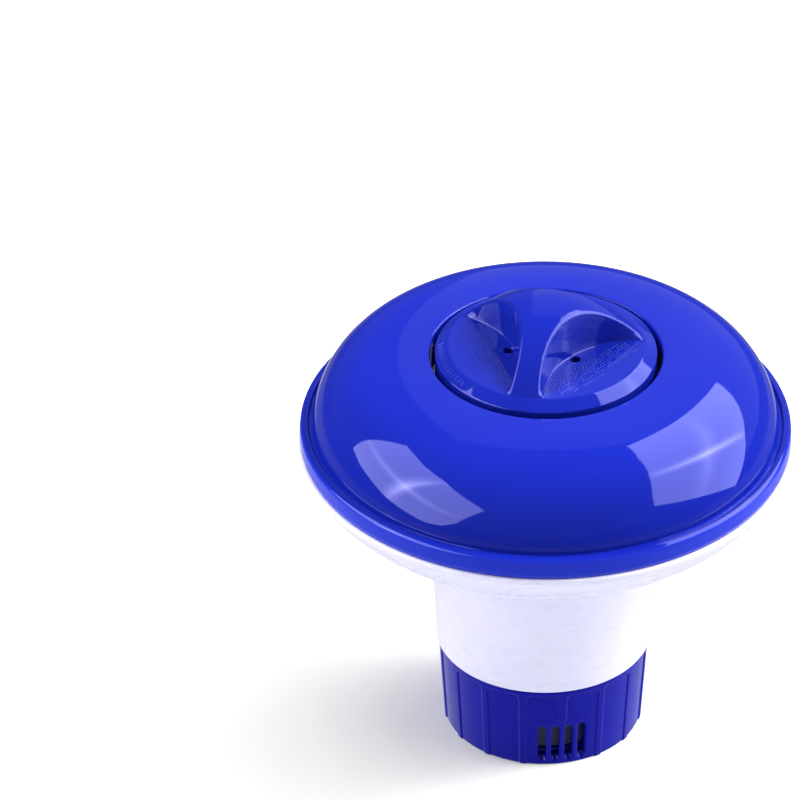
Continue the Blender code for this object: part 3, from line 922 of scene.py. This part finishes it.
def build_grate(material):
    """Perforated plate that carries the tablets, with softened hole edges."""
    bm = bmesh.new()
    radius = GRATE_HIGH.x
    low = GRATE_LOW.z
    high = low + GRATE_THICK
    centres = grate_centres()

    def hole_gap(x, y):
        return min(hypot(x - cx, y - cy) for cx, cy in centres) - GRATE_HOLE_R

    def surface(side_z, inward):
        def lift(x, y):
            fall = max(0.0, GRATE_EDGE - hole_gap(x, y)) + max(0.0, hypot(x, y) - (radius - GRATE_EDGE))
            return Vector((x, y, side_z + inward * min(GRATE_EDGE, fall)))

        return lift

    for side_z, inward in ((high, -1.0), (low, 1.0)):
        plan = Plan()
        plan.chain(ring_points(radius, 144), closed=True)
        plan.chain(ring_points(radius - GRATE_EDGE, 144), closed=True)
        for centre in centres:
            plan.chain(ring_points(GRATE_HOLE_R, 28, centre), closed=True)
            plan.chain(ring_points(GRATE_HOLE_R + GRATE_EDGE, 28, centre), closed=True)
        for p in honeycomb(1.6 * MM, (-radius, -radius), (radius, radius)):
            if hole_gap(*p) > 0.6 * MM and hypot(*p) < radius - 0.7 * MM:
                plan.loose([p])
        sheet_faces(bm, plan, lambda x, y: hole_gap(x, y) > -CUT_SLACK, surface(side_z, inward), inward > 0)
    tops = surface(high, -1.0)
    lows = surface(low, 1.0)
    loops = [ring_points(GRATE_HOLE_R, 28, centre) for centre in centres] + [ring_points(radius, 144)]
    for loop in loops:
        bridge(bm, [[tops(x, y) for x, y in loop], [lows(x, y) for x, y in loop]])
    return finish_mesh("grate_plate", bm, "grate", ["tablet_grate"], material)


def build_ears(material):
    """The two upright ears that slide in the tube's keyways."""
    bm = bmesh.new()
    low = GRATE_LOW.z + 1.3 * MM
    high = GRATE_HIGH.z
    for direction in KEYWAY_DIRECTIONS:
        turn = Matrix.Rotation(radians(direction), 4, "Z")
        middle = turn @ Matrix.Translation((EAR_R, 0, (low + high) / 2))
        shape = middle @ Matrix.Diagonal((EAR_THICK, EAR_WIDTH, high - low, 1.0))
        bmesh.ops.create_cube(bm, size=1.0, matrix=shape)
    bmesh.ops.bevel(bm, geom=bm.edges[:], offset=0.2 * MM, segments=3, affect="EDGES")
    return finish_mesh("grate_ears", bm, "grate", [], material)


# ---- materials
class NodeMaker:
    """Adds nodes to a material or world and wires them up."""

    def __init__(self, owner):
        owner.use_nodes = True
        self.tree = owner.node_tree

    def add(self, kind, **settings):
        node = self.tree.nodes.new("ShaderNode" + kind)
        for name, value in settings.items():
            setattr(node, name, value)
        return node

    def preset(self, node, **values):
        """Sets inputs by name, with _ for each space."""
        for socket, value in values.items():
            node.inputs[socket.replace("_", " ")].default_value = value

    def join(self, output, node, socket):
        self.tree.links.new(output, node.inputs[socket])

    def noise(self, feature, detail=2.0, stretch=None):
        """Noise between 0 and 1 with features of about this size in metres."""
        where = self.add("TexCoord").outputs["Object"]
        if stretch:
            mapping = self.add("Mapping")
            self.preset(mapping, Scale=stretch)
            self.join(where, mapping, "Vector")
            where = mapping.outputs["Vector"]
        texture = self.add("TexNoise")
        self.preset(texture, Scale=1 / feature, Detail=detail)
        self.join(where, texture, "Vector")
        return texture.outputs["Fac"]

    def between(self, factor, low, high, start=0.3, end=0.7):
        """Maps a factor from start..end to low..high."""
        node = self.add("MapRange")
        self.preset(node, From_Min=start, From_Max=end, To_Min=low, To_Max=high)
        self.join(factor, node, "Value")
        return node.outputs["Result"]

    def math(self, operation, a, b):
        node = self.add("Math", operation=operation)
        for i, value in enumerate((a, b)):
            if isinstance(value, (int, float)):
                node.inputs[i].default_value = value
            else:
                self.join(value, node, i)
        return node.outputs["Value"]

    def times(self, a, b):
        return self.math("MULTIPLY", a, b)

    def plus(self, a, b):
        return self.math("ADD", a, b)

    def split(self, coordinate):
        """X, Y and Z of a texture coordinate."""
        node = self.add("SeparateXYZ")
        self.join(self.add("TexCoord").outputs[coordinate], node, "Vector")
        return node.outputs

    def mix(self, factor, a, b):
        node = self.add("Mix", data_type="RGBA")
        sockets = [s for s in node.inputs if s.type == "RGBA"]
        self.join(factor, node, 0)
        for socket, value in zip(sockets, (a, b)):
            if isinstance(value, tuple):
                socket.default_value = (*value, 1.0)
            else:
                self.tree.links.new(value, socket)
        return [s for s in node.outputs if s.type == "RGBA"][0]

    def bump(self, height, distance, normal=None):
        node = self.add("Bump")
        self.preset(node, Distance=distance)
        self.join(height, node, "Height")
        if normal:
            self.join(normal, node, "Normal")
        return node.outputs["Normal"]


GRAIN = 0.0004 * MM
PLASTIC_IOR = 1.49


def moulded_plastic(name, colour, shade, roughness, wave=0.006 * MM, low=None, gleam=0.5, edge_glint=0.3):
    """Glossy moulded plastic: pigment that varies a little, painted highlights on the edges, and a faintly
    uneven skin.
    Low is a colour painted on the part below a height, for painted light and painted shade: (colour, where it
    ends, where the main one begins)."""
    material = bpy.data.materials.new(name)
    maker = NodeMaker(material)
    shader = maker.tree.nodes["Principled BSDF"]
    pigment = maker.mix(maker.between(maker.noise(22 * MM, 3.0), 0.0, 1.0), shade, colour)
    specks = maker.between(maker.noise(0.7 * MM, 2.0), 0.0, 0.06, 0.6, 0.8)
    pigment = maker.mix(specks, pigment, shade)
    # Painted light and shade: below a height the pigment gives way to the low colour.
    if low:
        below = maker.between(maker.split("Object")["Z"], 1.0, 0.0, *low[1:])
        pigment = maker.mix(below, pigment, low[0])
    # Painted highlight: edges, found by pointiness, are painted paler, standing in for light caught on them.
    pale = tuple(0.85 * c + edge_glint / 6 for c in colour)
    edges = maker.between(maker.add("NewGeometry").outputs["Pointiness"], 0.0, edge_glint, 0.55, 0.7)
    pigment = maker.mix(edges, pigment, pale)
    maker.join(pigment, shader, "Base Color")
    smears = maker.noise(9 * MM, 1.0, (1.0, 1.0, 2.5))
    maker.join(maker.between(smears, roughness * 0.88, roughness * 1.15), shader, "Roughness")
    skin = maker.bump(maker.noise(14 * MM, 1.0), wave)
    skin = maker.bump(maker.noise(0.45 * MM, 1.0), GRAIN, skin)
    maker.join(skin, shader, "Normal")
    maker.preset(shader, IOR=PLASTIC_IOR, Specular_IOR_Level=gleam)
    return material


# ---- floor, light and camera
FLOOR_R = 4.0
FLOOR_BOUNCED = ((0.77, 0.77, 0.77), (0.79, 0.79, 0.79))
FLOOR_SEEN = ((0.80, 0.80, 0.75), (0.815, 0.815, 0.765))
NEAR_GLOW = (0.42, 40 * MM, 105 * MM)
FAR_GLOW = (0.6, 0.3, 1.2)


def build_floor():
    """Pale round floor, left out of reflections. For the camera only, it glows faintly away from the float."""
    bm = bmesh.new()
    bmesh.ops.create_circle(bm, cap_ends=True, segments=128, radius=FLOOR_R)
    floor = object_from("floor", bm)
    material = bpy.data.materials.new("floor_paper")
    maker = NodeMaker(material)
    shader = maker.tree.nodes["Principled BSDF"]
    mottle = maker.between(maker.noise(60 * MM, 3.0), 0.0, 1.0)
    bounced = maker.mix(mottle, *FLOOR_BOUNCED)
    seen = maker.mix(mottle, *FLOOR_SEEN)
    by_camera = maker.add("LightPath").outputs["Is Camera Ray"]
    tone = maker.mix(by_camera, bounced, seen)
    maker.join(tone, shader, "Base Color")
    away = maker.add("VectorMath", operation="LENGTH")
    maker.join(maker.add("TexCoord").outputs["Object"], away, "Vector")
    glow = maker.between(away.outputs["Value"], 0.0, *NEAR_GLOW)
    glow = maker.plus(glow, maker.between(away.outputs["Value"], 0.0, *FAR_GLOW))
    maker.join(maker.times(by_camera, glow), shader, "Emission Strength")
    maker.preset(shader, Emission_Color=(1.0, 1.0, 1.0, 1.0), Roughness=0.9, Specular_IOR_Level=0.1)
    floor.data.materials.append(material)
    floor.visible_glossy = False


def heading(azimuth, elevation, distance):
    """A point seen from the float at an azimuth (0 front, 90 right) and elevation."""
    a = radians(azimuth)
    e = radians(elevation)
    flat = distance * cos(e)
    return Vector((flat * sin(a), -flat * cos(a), RIM_Z + distance * sin(e)))


COOL = (1.0, 1.03, 1.8)
PLAIN = (1.0, 1.0, 1.0)
SOFTBOX_DISTANCE = 3.0
SOFTBOX_ROWS = 8


def build_softbox(name, lower, upper, strength, along, across):
    """Large diffuser, cool in reflections. Its edges are rows of (azimuth, elevation), its strength runs from
    end to end, and along and across are hot tubes that show through it: (place, width, gain)."""
    bm = bmesh.new()
    layer = bm.loops.layers.uv.new("UVMap")
    count = len(lower)
    lows = [heading(*spot, SOFTBOX_DISTANCE) for spot in lower]
    highs = [heading(*spot, SOFTBOX_DISTANCE) for spot in upper]
    grid = []
    for t in spread(0.0, 1.0, SOFTBOX_ROWS):
        grid.append([bm.verts.new(low.lerp(high, t)) for low, high in zip(lows, highs)])
    for j in range(SOFTBOX_ROWS):
        for i in range(count - 1):
            face = bm.faces.new((grid[j][i], grid[j][i + 1], grid[j + 1][i + 1], grid[j + 1][i]))
            spots = ((i, j), (i + 1, j), (i + 1, j + 1), (i, j + 1))
            for loop, (a, b) in zip(face.loops, spots):
                loop[layer].uv = (a / (count - 1), b / SOFTBOX_ROWS)
    panel = object_from(name, bm)
    material = bpy.data.materials.new(name + "_glow")
    maker = NodeMaker(material)
    maker.tree.nodes.remove(maker.tree.nodes["Principled BSDF"])
    spot = maker.split("UV")

    def away(axis, middle):
        return maker.math("ABSOLUTE", maker.math("SUBTRACT", spot[axis], middle), 0.0)

    def streak(beside, onward, width, gain):
        """A hot tube: bright within a width beside its line, and fading onward from where the tubes cross."""
        line = maker.between(beside, 1.0, 0.0, 0.0, width)
        fade = maker.between(onward, gain, 0.15 * gain, 0.0, 0.5)
        return maker.times(maker.times(line, line), fade)

    beside_along = away("Y", along[0])
    beside_across = away("X", across[0])
    tube_along = streak(beside_along, beside_across, *along[1:])
    tube_across = streak(beside_across, beside_along, *across[1:])
    glow = maker.plus(tube_along, tube_across)
    ramp = maker.between(spot["X"], *strength, 0.0, 1.0)
    glow = maker.times(maker.plus(glow, 1.0), ramp)
    emission = maker.add("Emission")
    maker.join(glow, emission, "Strength")
    mirrored = maker.add("LightPath").outputs["Is Glossy Ray"]
    maker.join(maker.mix(mirrored, PLAIN, COOL), emission, "Color")
    output = maker.tree.nodes["Material Output"]
    maker.join(emission.outputs["Emission"], output, "Surface")
    panel.data.materials.append(material)
    panel.visible_camera = False


def build_soft_light(name, place, size, energy, only=()):
    """Soft round light that faces the float and isn't reflected. Given pieces, it reaches only those."""
    data = bpy.data.lights.new(name, "AREA")
    data.shape = "DISK"
    data.size = size
    data.energy = energy
    light = add_object(name, data)
    light.location = place
    light.rotation_euler = (light.location - Vector((0, 0, RIM_Z))).to_track_quat("Z", "Y").to_euler()
    light.visible_glossy = False
    if only:
        reached = bpy.data.collections.new(name + "_reaches")
        for piece in only:
            reached.objects.link(piece)
        light.light_linking.receiver_collection = reached


BACKDROP = 0.19
ROOM = 0.12
TABLE = 0.07
AMBIENT = 0.15


def build_world():
    """White backdrop for the camera, even light for surfaces and a plain studio room for reflections."""
    world = bpy.data.worlds.new("studio")
    bpy.context.scene.world = world
    maker = NodeMaker(world)
    background = maker.tree.nodes["Background"]
    x, y, z = maker.split("Generated")

    def weighted(*terms):
        total = 0.0
        for socket, weight in terms:
            total = maker.plus(maker.times(socket, weight), total)
        return total

    below_top = maker.between(weighted((y, 1.7), (z, -1.0)), 0.0, 1.0, -0.01, 0.01)
    right_of_edge = maker.between(weighted((x, 1.0), (y, 0.07), (z, 0.2)), 0.0, 1.0, -0.01, 0.01)
    backdrop = maker.times(maker.times(below_top, right_of_edge), BACKDROP)
    room = maker.plus(backdrop, ROOM)
    far_table = maker.between(z, 0.15, 0.0, -0.26, -0.23)
    near_table = maker.between(z, 1.0, 0.0, -0.46, -0.42)
    near_table = maker.times(near_table, maker.between(y, 0.02, 0.45, -0.8, 0.3))
    table = maker.plus(maker.plus(far_table, near_table), TABLE)
    above = maker.between(z, 0.0, 1.0, -0.01, 0.01)
    room = maker.times(room, above)
    table = maker.times(table, maker.math("SUBTRACT", 1.0, above))
    path = maker.add("LightPath")
    glossy = maker.times(path.outputs["Is Glossy Ray"], maker.plus(room, table))
    plain = maker.times(path.outputs["Is Diffuse Ray"], AMBIENT)
    strength = maker.plus(maker.plus(glossy, plain), path.outputs["Is Camera Ray"])
    maker.join(strength, background, "Strength")
    maker.preset(background, Color=(1.0, 1.0, 1.0, 1.0))


CAMERA_ELEVATION = 34.85
CAMERA_DISTANCE = 1.5476
CAMERA_LENS = 267.6
CAMERA_TURN = (0.862, 1.394, 0.544)


def build_camera():
    """Long lens from the front, a third of the way up, the object right of and below the middle."""
    data = bpy.data.cameras.new("camera")
    data.lens = CAMERA_LENS
    data.clip_end = 20.0
    camera = add_object("camera", data)
    e = radians(CAMERA_ELEVATION)
    aim_z = RIM_Z - 20 * MM
    place = Matrix.Translation((0, -CAMERA_DISTANCE * cos(e), aim_z + CAMERA_DISTANCE * sin(e)))
    pitch, yaw, roll = (radians(a) for a in CAMERA_TURN)
    turn = Matrix.Rotation(pi / 2 - e, 4, "X") @ Matrix.Rotation(roll, 4, "Z")
    turn = turn @ Matrix.Rotation(yaw, 4, "Y") @ Matrix.Rotation(pitch, 4, "X")
    camera.matrix_world = place @ turn
    bpy.context.scene.camera = camera


# ---- putting it together
BLUE = (0.0045, 0.0122, 0.265)
BLUE_SHADE = (0.0040, 0.0110, 0.25)
LID_BLUE = (0.0045, 0.0118, 0.24)
LID_SHADE = (0.0040, 0.0106, 0.225)
# Painted light: a lighter blue for the flange, standing in for the light that brightens it.
RIM_GLOW_BLUE = (0.0090, 0.0240, 0.42)
MARK_BLUE = (0.03, 0.05, 0.5)
COLLAR_BLUE = (0.0028, 0.0038, 0.25)
COLLAR_SHADE = (0.0024, 0.0033, 0.235)
WHITE = (0.61, 0.605, 0.775)
WHITE_SHADE = (0.60, 0.595, 0.765)
# Painted shade: a dark grey-blue for the white tube wall seen in shade through the collar's slots.
SPIGOT_PAINTED_SHADE = (0.035, 0.04, 0.13)
SEAL_BLACK = (0.006, 0.008, 0.03)
SEAL_SHADE = (0.004, 0.005, 0.02)
RIGHT_PLACE = (0.9, 0.2, 1.2)
LEFT_PLACE = (-0.85, 0.35, 1.2)

# Painted light: the dome is painted the lighter rim blue below the flange's top.
flange = (RIM_GLOW_BLUE, FLANGE_TOP_Z - 0.9 * MM, FLANGE_TOP_Z - 0.4 * MM)
# Painted shade: the tube is painted dark below the top of its narrow end.
spigot = (SPIGOT_PAINTED_SHADE, SPIGOT_TOP_Z - 0.6 * MM, SPIGOT_TOP_Z)
float_blue = moulded_plastic("float_blue", BLUE, BLUE_SHADE, 0.04, low=flange)
float_white = moulded_plastic("float_white", WHITE, WHITE_SHADE, 0.28, wave=0.002 * MM)
tube_white = moulded_plastic("tube_white", WHITE, WHITE_SHADE, 0.3, wave=0.002 * MM, low=spigot)
lid_blue = moulded_plastic("lid_blue", LID_BLUE, LID_SHADE, 0.05, edge_glint=0.45)
mark_blue = moulded_plastic("mark_blue", MARK_BLUE, LID_BLUE, 0.15)
liner_white = moulded_plastic("liner_white", WHITE, WHITE_SHADE, 0.28)
seal_rubber = moulded_plastic("seal_rubber", SEAL_BLACK, SEAL_SHADE, 0.5, gleam=0.1, edge_glint=0.0)
collar_blue = moulded_plastic("collar_blue", COLLAR_BLUE, COLLAR_SHADE, 0.16, gleam=0.22)
grate_blue = moulded_plastic("grate_blue", COLLAR_BLUE, COLLAR_SHADE, 0.2, gleam=0.22)

pieces = [
    build_dome(float_blue),
    build_bowl(float_white),
    build_tube(tube_white),
    build_lid(lid_blue),
    build_pocket_ticks(mark_blue),
    build_rim_ticks(mark_blue),
    build_liner(liner_white),
    build_seal(seal_rubber),
    build_collar(collar_blue),
    build_grate(grate_blue),
    build_ears(grate_blue),
]

build_floor()
build_soft_light("right_light", RIGHT_PLACE, 0.8, 31.0)
build_soft_light("left_light", LEFT_PLACE, 0.6, 3.2)
build_soft_light("left_fill", LEFT_PLACE, 0.6, 18.0, only=pieces)
build_world()
build_softbox(
    "left_softbox",
    lower=[
        (-105.4, 8.9), (-97, 4.5), (-87.4, 1.1), (-76.4, -4.3),
        (-66, -6.8), (-55.4, -9.1), (-47, -6.0), (-40.5, 1.6),
    ],
    upper=[
        (-110.8, 50.8), (-99.4, 51.5), (-83.1, 49.9), (-60.3, 46),
        (-53, 42), (-43.1, 36.3), (-35, 31), (-29.4, 26.1),
    ],
    strength=(3.3, 2.6),
    along=(0.45, 0.12, 0.9),
    across=(3 / 7, 0.08, 2.4),
)
build_softbox(
    "right_softbox",
    lower=[
        (98, -13.6), (104, -5.5), (110.7, 3.6), (116, 11),
        (123.8, 17.8), (135, 26), (145, 31), (154.1, 33.8),
    ],
    upper=[
        (52.9, 16.1), (55.5, 28), (62, 41), (71.6, 51.8),
        (92, 62), (118, 66), (138, 64.5), (154.6, 60.5),
    ],
    strength=(3.0, 3.7),
    along=(0.5, 0.16, 0.7),
    across=(3 / 7, 0.08, 2.3),
)
build_camera()
bpy.context.scene.view_settings.view_transform = "Standard"
